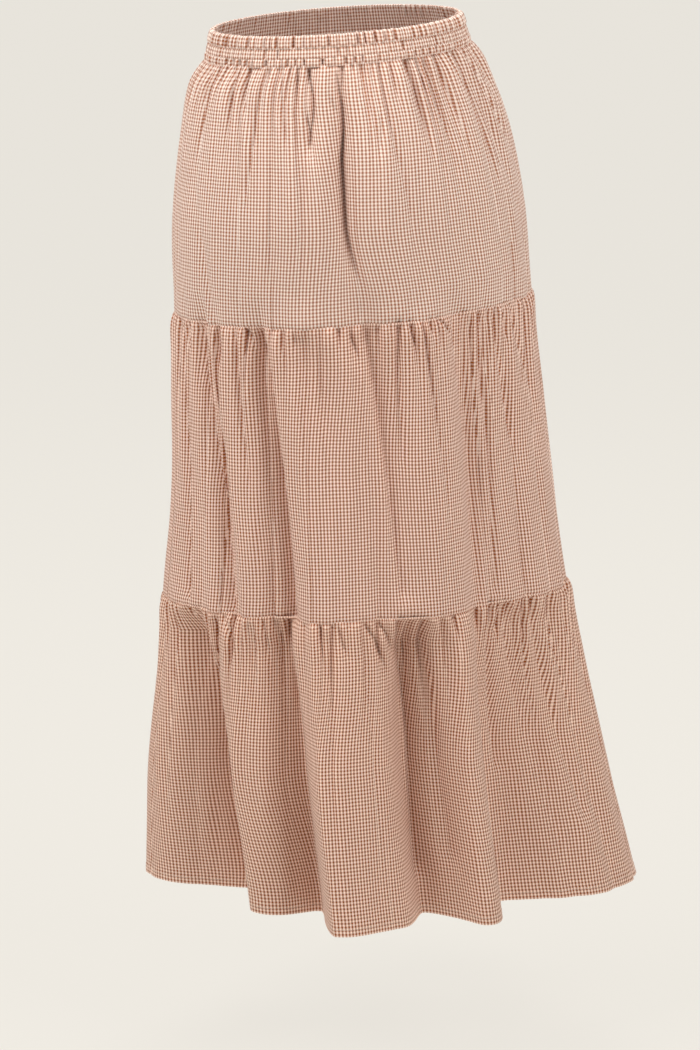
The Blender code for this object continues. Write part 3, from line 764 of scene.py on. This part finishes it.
def cloth_object(name, points, faces, material, flat):
    """A smooth mesh object of cloth, with its points' places on the flat cut as its uv map."""
    mesh = new_mesh(name, points.tolist(), faces.tolist(), material)
    corner = np.empty(len(mesh.loops), dtype=np.int32)
    mesh.loops.foreach_get("vertex_index", corner)
    layer = mesh.uv_layers.new(name="cloth")
    layer.data.foreach_set("uv", np.asarray(flat, dtype=np.float32)[corner].ravel())
    mesh.shade_smooth()
    mesh.set_sharp_from_angle(angle=SHARP_EDGE)
    return add_object(name, mesh)


def cloth_shell(name, grid, flat, material, wall=CLOTH_WALL):
    """A thin closed shell from a grid of outer points and their places on the flat cut."""
    rows, columns = grid.shape[:2]
    inner = grid - wall * grid_normals(grid)
    inner[:, 0, 1] = grid[:, 0, 1]
    inner[:, -1, 1] = grid[:, -1, 1]
    count = rows * columns
    loop = rim_loop(rows, columns)
    after = np.roll(loop, -1)
    rim = np.stack([after, loop, loop + count, after + count], axis=-1)
    front, back = quads(0, rows, columns, True), quads(count, rows, columns, False)
    points = np.concatenate([grid.reshape(-1, 3), inner.reshape(-1, 3)])
    flat = flat.reshape(-1, 2)
    return cloth_object(name, points, np.concatenate([front, back, rim]), material,
                        np.concatenate([flat, flat]))


def build_tier(index, half, material):
    tier = Tier(index, half)
    tier.place_columns()
    drops = tier.drops()
    grid = np.stack([tier.row(drop) for drop in drops])
    flat = on_cut(tier.columns, [tier.flat_at(drop) for drop in drops], [-drop for drop in drops])
    piece = cloth_shell(f"{tier.name}_{half}_cloth", grid, flat, material)
    return piece, tier, grid


def band_families(half):
    """The band's ripples. They are used at their top only, so their reach says nothing."""
    start, seed = HALVES[half][0], HALVES[half][3]
    return [crease_family(seed + k, start, row[0], 1.0) for k, row in enumerate(BAND_RIPPLES)]


def band_ripple(angle, share, families):
    """Ripples of the elastic, of another kind above, between and below the stitching."""
    height = np.zeros_like(angle)
    for (count, size, first, last), family in zip(BAND_RIPPLES, families):
        strength = share_of(min(share - first, last - share) / BAND_FADE)
        height += strength * size * creases(angle, 0.0, family, BAND_STEEP)
    for stitch in BAND_STITCHES:
        height *= 1.0 - BAND_HELD * math.exp(-((share - stitch) / BAND_HELD_WIDTH) ** 2)
    return height * side_calm(angle)


def band_out(angle, share, inner, families):
    """Height of the band's outer or inner face off the body, at a share of its height."""
    ripple = band_ripple(angle, share, families)
    if inner:
        return BAND_INSIDE + BAND_INNER_RIPPLE * ripple
    table, sizes = zip(*BAND_SECTION)
    groove = side_groove(angle, BAND_DROP * share)
    return smooth_between(share, table, sizes) + ripple - groove


def build_band(half, material):
    """A half of the band as one closed sleeve, and the rows of its outside for the stitching."""
    angle = half_angles(half)
    families = band_families(half)
    run = run_along(ring(angle, 0.5 * BAND_DROP, 0.0))
    places = np.interp(np.linspace(0.0, run[-1], BAND_COLUMNS), run, angle)
    rows, downs = [], []
    for inner, shares in ((False, BAND_OUTSIDE), (True, BAND_INNER_ROWS)):
        for share in shares:
            out = band_out(angle, share, inner, families)
            rows.append(points_at(places, angle, ring(angle, BAND_DROP * share, out)))
            downs.append(-BAND_DROP * (2.0 - share if inner else share))
    grid = np.stack(rows)
    flat = on_cut(BAND_COLUMNS, [0.5 * BAND_FLAT] * len(rows), downs).reshape(-1, 2)
    k = np.arange(BAND_COLUMNS - 1)
    last = (len(rows) - 1) * BAND_COLUMNS
    close = np.stack([last + k, k, k + 1, last + k + 1], axis=-1)
    faces = np.concatenate([quads(0, len(rows), BAND_COLUMNS, True), close])
    piece = cloth_object(f"waistband_{half}_cloth", grid.reshape(-1, 3), faces, material, flat)
    return piece, grid[:len(BAND_OUTSIDE)]


def build_hem_turn(tier, grid, half, material):
    """The hem's turned-up strip on the inside of tier 3."""
    drops = tier.drops()
    fold = tier.bottom - HEM_TURN - ROUNDING
    first = next(k for k, drop in enumerate(drops) if drop >= fold)
    strip = grid[first:, ::HEM_TURN_STEP]
    outer = strip - (CLOTH_WALL + HEM_TURN_GAP) * grid_normals(strip)
    rows, columns = strip.shape[:2]
    flat = on_cut(columns, [0.5 * tier.flat_bottom] * rows, drops[first:])
    return cloth_shell(f"hem_turn_{half}", outer, flat, material, 0.5 * CLOTH_WALL)


def stitch_row(name, points, normals, material):
    """A row of short raised threads lying along a line of points."""
    run = run_along(points)
    pitch = STITCH_LENGTH + STITCH_GAP
    share = np.linspace(0.0, 1.0, THREAD_STEPS)
    lift = THREAD * (THREAD_ARCH * np.sin(math.pi * share) - THREAD_SUNK)
    turns = np.linspace(0.0, TURN, THREAD_SIDES, endpoint=False)
    all_points, all_faces = [], []
    for stitch in range(int(run[-1] / pitch)):
        place = stitch * pitch + 0.5 * STITCH_GAP + share * STITCH_LENGTH
        normal = points_at(place, run, normals)
        centre = points_at(place, run, points) + normal * lift[:, None]
        along = np.gradient(centre, axis=0)
        along /= np.linalg.norm(along, axis=1, keepdims=True)
        side = np.cross(along, normal)
        first = len(all_points)
        for step in range(THREAD_STEPS):
            for turn in turns:
                offset = math.cos(turn) * side[step] + math.sin(turn) * normal[step]
                all_points.append(centre[step] + 0.5 * THREAD * offset)
        for step in range(THREAD_STEPS - 1):
            for k in range(THREAD_SIDES):
                a = first + step * THREAD_SIDES + k
                b = first + step * THREAD_SIDES + (k + 1) % THREAD_SIDES
                all_faces.append((a, b, b + THREAD_SIDES, a + THREAD_SIDES))
        all_faces.append(tuple(range(first + THREAD_SIDES - 1, first - 1, -1)))
        last = first + (THREAD_STEPS - 1) * THREAD_SIDES
        all_faces.append(tuple(range(last, last + THREAD_SIDES)))
    mesh = new_mesh(name, all_points, all_faces, material)
    mesh.shade_smooth()
    return add_object(name, mesh)


# ---------------------------------------------------------------- materials
class Nodes:
    """Short ways to add nodes to a material and to link them."""

    def __init__(self, name):
        self.material = bpy.data.materials.new(name)
        self.material.use_nodes = True
        self.tree = self.material.node_tree
        self.shader = self.tree.nodes["Principled BSDF"]

    def link(self, value, socket):
        if isinstance(value, bpy.types.NodeSocket):
            self.tree.links.new(value, socket)
        else:
            socket.default_value = value

    def math(self, kind, a, b=0.0, c=0.0, clamp=False):
        node = self.tree.nodes.new("ShaderNodeMath")
        node.operation = kind
        node.use_clamp = clamp
        for value, socket in zip((a, b, c), node.inputs):
            self.link(value, socket)
        return node.outputs[0]

    def mix(self, share, a, b):
        node = self.tree.nodes.new("ShaderNodeMix")
        node.data_type = "RGBA"
        self.link(share, node.inputs[0])
        self.link(a, node.inputs[6])
        self.link(b, node.inputs[7])
        return node.outputs[2]

    def noise(self, vector, scale, detail=2.0):
        node = self.tree.nodes.new("ShaderNodeTexNoise")
        node.inputs["Scale"].default_value = scale
        node.inputs["Detail"].default_value = detail
        self.link(vector, node.inputs["Vector"])
        return node.outputs["Fac"]

    def scaled(self, vector, sizes):
        node = self.tree.nodes.new("ShaderNodeVectorMath")
        node.operation = "MULTIPLY"
        self.link(vector, node.inputs[0])
        node.inputs[1].default_value = sizes
        return node.outputs[0]

    def swing(self, noise, size):
        """A noise made to swing about zero."""
        return self.math("MULTIPLY_ADD", noise, size, -0.5 * size)

    def bump(self, height, strength, distance):
        node = self.tree.nodes.new("ShaderNodeBump")
        node.inputs["Strength"].default_value = strength
        node.inputs["Distance"].default_value = distance
        self.link(height, node.inputs["Height"])
        self.link(node.outputs["Normal"], self.shader.inputs["Normal"])


def colour(rgb, scale=1.0):
    return (rgb[0] * scale, rgb[1] * scale, rgb[2] * scale, 1.0)


def gingham(slot):
    """Woven check: brown and white yarns, in stripes both ways, with a plain weave."""
    nodes = Nodes(slot + "_gingham")
    place = nodes.tree.nodes.new("ShaderNodeUVMap")
    place.uv_map = "cloth"
    split = nodes.tree.nodes.new("ShaderNodeSeparateXYZ")
    nodes.link(place.outputs[0], split.inputs[0])
    across, down = split.outputs[0], split.outputs[1]

    def stripes(along):
        wave = nodes.math("SINE", nodes.math("MULTIPLY", along, TURN / CHECK_REPEAT))
        return nodes.math("MULTIPLY_ADD", wave, STRIPE_EDGE, 0.5, clamp=True)

    def yarns(along):
        return nodes.math("SINE", nodes.math("MULTIPLY", along, math.pi / YARN_PITCH))

    warp_stripe, weft_stripe = stripes(across), stripes(down)
    crossing = nodes.math("MULTIPLY", yarns(across), yarns(down))
    over = nodes.math("MULTIPLY_ADD", crossing, OVER_EDGE, 0.5, clamp=True)
    part = nodes.math("MULTIPLY_ADD", over, *OVER_SHARES)
    brown = nodes.math("ADD", nodes.math("MULTIPLY", warp_stripe, part),
                       nodes.math("MULTIPLY", weft_stripe, nodes.math("SUBTRACT", 1.0, part)))
    fine, coarse = YARN_GRAIN
    warp_tone = nodes.noise(nodes.scaled(place.outputs[0], (fine, coarse, 1.0)), 1.0)
    weft_tone = nodes.noise(nodes.scaled(place.outputs[0], (coarse, fine, 1.0)), 1.0)
    clouds = nodes.noise(place.outputs[0], *CLOUD_SIZE)
    tones = nodes.math("ADD", nodes.swing(warp_tone, YARN_TONE), nodes.swing(weft_tone, YARN_TONE))
    tones = nodes.math("ADD", tones, nodes.swing(clouds, CLOUD_TONE))
    shade = nodes.math("ADD", 1.0, tones)
    # the yarn colours of tiers 2 and 3 hold painted shade: they are darker than the same cloth in
    # tier 1
    white_yarn_and_shade, brown_yarn_and_shade = CLOTH_COLOURS_AND_SHADE[slot]
    base = nodes.mix(brown, colour(white_yarn_and_shade), colour(brown_yarn_and_shade))
    toned = nodes.tree.nodes.new("ShaderNodeVectorMath")
    toned.operation = "SCALE"
    nodes.link(base, toned.inputs[0])
    nodes.link(shade, toned.inputs["Scale"])
    nodes.link(toned.outputs[0], nodes.shader.inputs["Base Color"])
    rough = nodes.math("MULTIPLY_ADD", clouds, *CLOTH_ROUGH)
    nodes.link(rough, nodes.shader.inputs["Roughness"])
    nodes.shader.inputs["Specular IOR Level"].default_value = CLOTH_GLOSS
    nodes.shader.inputs["Sheen Weight"].default_value = CLOTH_SHEEN[0]
    nodes.shader.inputs["Sheen Roughness"].default_value = CLOTH_SHEEN[1]
    relief = nodes.math("ADD", nodes.math("ABSOLUTE", yarns(across)),
                        nodes.math("ABSOLUTE", yarns(down)))
    relief = nodes.math("ADD", relief, nodes.math("MULTIPLY", tones, TONE_BUMP))
    nodes.bump(relief, *CLOTH_BUMP)
    return nodes.material


def thread(name, rgb):
    """Twisted sewing thread."""
    nodes = Nodes(name)
    place = nodes.tree.nodes.new("ShaderNodeTexCoord")
    twist = nodes.noise(place.outputs["Object"], THREAD_GRAIN)
    base = nodes.mix(twist, colour(rgb, 0.82), colour(rgb, 1.10))
    nodes.link(base, nodes.shader.inputs["Base Color"])
    nodes.link(nodes.math("MULTIPLY_ADD", twist, 0.2, 0.55), nodes.shader.inputs["Roughness"])
    nodes.bump(twist, 0.3, 0.00008)
    return nodes.material


def floor_paint():
    nodes = Nodes("floor_paint")
    place = nodes.tree.nodes.new("ShaderNodeTexCoord")
    clouds = nodes.noise(place.outputs["Object"], FLOOR_CLOUDS)
    base = nodes.mix(clouds, colour(FLOOR_COLOUR, (1.0 - FLOOR_UNEVEN) * FLOOR_PAINT),
                     colour(FLOOR_COLOUR, (1.0 + FLOOR_UNEVEN) * FLOOR_PAINT))
    nodes.link(base, nodes.shader.inputs["Base Color"])
    nodes.shader.inputs["Roughness"].default_value = 0.9
    nodes.shader.inputs["Specular IOR Level"].default_value = 0.1
    nodes.shader.inputs["Emission Color"].default_value = colour(FLOOR_COLOUR)
    nodes.shader.inputs["Emission Strength"].default_value = FLOOR_GLOW
    return nodes.material


# ---------------------------------------------------------------- stage
def add_camera():
    turn, fall = math.radians(CAMERA_TURN), math.radians(CAMERA_FALL)
    to_camera = Vector((math.sin(turn), -math.cos(turn), 0.0))
    forward = -to_camera * math.cos(fall) + Vector((0.0, 0.0, -math.sin(fall)))
    right = forward.cross(Vector((0.0, 0.0, 1.0))).normalized()
    forward = (forward + right * AXIS_LEFT_PIXELS / FOCAL_PIXELS).normalized()
    lens = bpy.data.cameras.new("camera")
    lens.sensor_fit = "AUTO"
    lens.sensor_width = SENSOR
    lens.lens = FOCAL_PIXELS * SENSOR / max(IMAGE_SIZE)
    lens.clip_end = CAMERA_SEES
    camera = add_object("camera", lens)
    camera.location = to_camera * CAMERA_AWAY + Vector((0.0, 0.0, CAMERA_HEIGHT))
    camera.rotation_euler = forward.to_track_quat("-Z", "Y").to_euler()
    bpy.context.scene.camera = camera


def direction(turn, rise):
    turn, rise = math.radians(turn), math.radians(rise)
    return Vector((math.sin(turn) * math.cos(rise), -math.cos(turn) * math.cos(rise),
                   math.sin(rise)))


def add_light(name, turn, rise, away, size, power, tint):
    """A square soft box that looks at the skirt from a direction."""
    lamp = bpy.data.lights.new(name, "AREA")
    lamp.shape = "SQUARE"
    lamp.size = size
    lamp.energy = power
    lamp.color = tint
    lit = add_object(name, lamp)
    lit.location = Vector(LIGHT_AIM) + away * direction(turn, rise)
    lit.rotation_euler = (-direction(turn, rise)).to_track_quat("-Z", "Y").to_euler()


def stage_piece(name, corners, faces, paint):
    piece = add_object(name, new_mesh(name, corners, faces, paint))
    return piece


def add_backdrop(paint):
    """A round wall of the floor's colour, far off, which only the camera sees."""
    turns = [TURN * side / BACKDROP_SIDES for side in range(BACKDROP_SIDES)]
    around = [(BACKDROP_AWAY * math.cos(turn), BACKDROP_AWAY * math.sin(turn)) for turn in turns]
    low = [(x, y, FLOOR_LEVEL) for x, y in around]
    high = [(x, y, FLOOR_LEVEL + BACKDROP_TALL) for x, y in around]
    walls = []
    for side in range(BACKDROP_SIDES):
        after = (side + 1) % BACKDROP_SIDES
        walls.append((side, after, BACKDROP_SIDES + after, BACKDROP_SIDES + side))
    backdrop = stage_piece("backdrop", low + high, walls, paint)
    backdrop.visible_diffuse = False
    backdrop.visible_glossy = False
    backdrop.visible_transmission = False
    backdrop.visible_shadow = False


def add_stage():
    paint = floor_paint()
    reach = FLOOR_REACH
    flat = [(-reach, -reach), (reach, -reach), (reach, reach), (-reach, reach)]
    stage_piece("floor", [(x, y, FLOOR_LEVEL) for x, y in flat], [(0, 1, 2, 3)], paint)
    add_backdrop(paint)
    world = bpy.data.worlds.new("studio")
    world.use_nodes = True
    back = world.node_tree.nodes["Background"]
    back.inputs[0].default_value = colour(AIR_COLOUR)
    back.inputs[1].default_value = AIR_LIGHT
    bpy.context.scene.world = world
    for row in LIGHTS:
        add_light(*row)
    bpy.context.scene.view_settings.view_transform = "Standard"


# ---------------------------------------------------------------- build
def dress(piece, node):
    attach(piece, "root")
    if node:
        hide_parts(node)


def build_half_band(half, cloth, tan):
    band, outer = build_band(half, cloth)
    dress(band, f"waistband_{half}")
    normals = grid_normals(outer)
    for number, share in enumerate(BAND_STITCHES):
        row = BAND_OUTSIDE.index(share)
        stitches = stitch_row(f"waistband_{half}_stitches_{number + 1}", outer[row], normals[row],
                              tan)
        dress(stitches, None)


def build_half_tier(index, half, cloth, cream):
    piece, tier, grid = build_tier(index, half, cloth)
    dress(piece, f"{tier.name}_{half}")
    if tier.is_hem:
        turn = build_hem_turn(tier, grid, half, cloth)
        dress(turn, None)
        row = int(np.argmin(np.abs(np.array(tier.drops()) - (tier.bottom - HEM_STITCH_UP))))
        stitches = stitch_row(f"hem_{half}_stitches", grid[row], grid_normals(grid)[row], cream)
        dress(stitches, None)


def build():
    add_camera()
    tan, cream = thread("band_thread", THREAD_TAN), thread("hem_thread", THREAD_CREAM)
    cloths = {name: gingham(name) for name in CLOTH_COLOURS_AND_SHADE}
    for half in HALVES:
        build_half_band(half, cloths["waistband"], tan)
        for index, tier in enumerate(TIERS):
            build_half_tier(index, half, cloths[tier[0]], cream)


build()
add_stage()
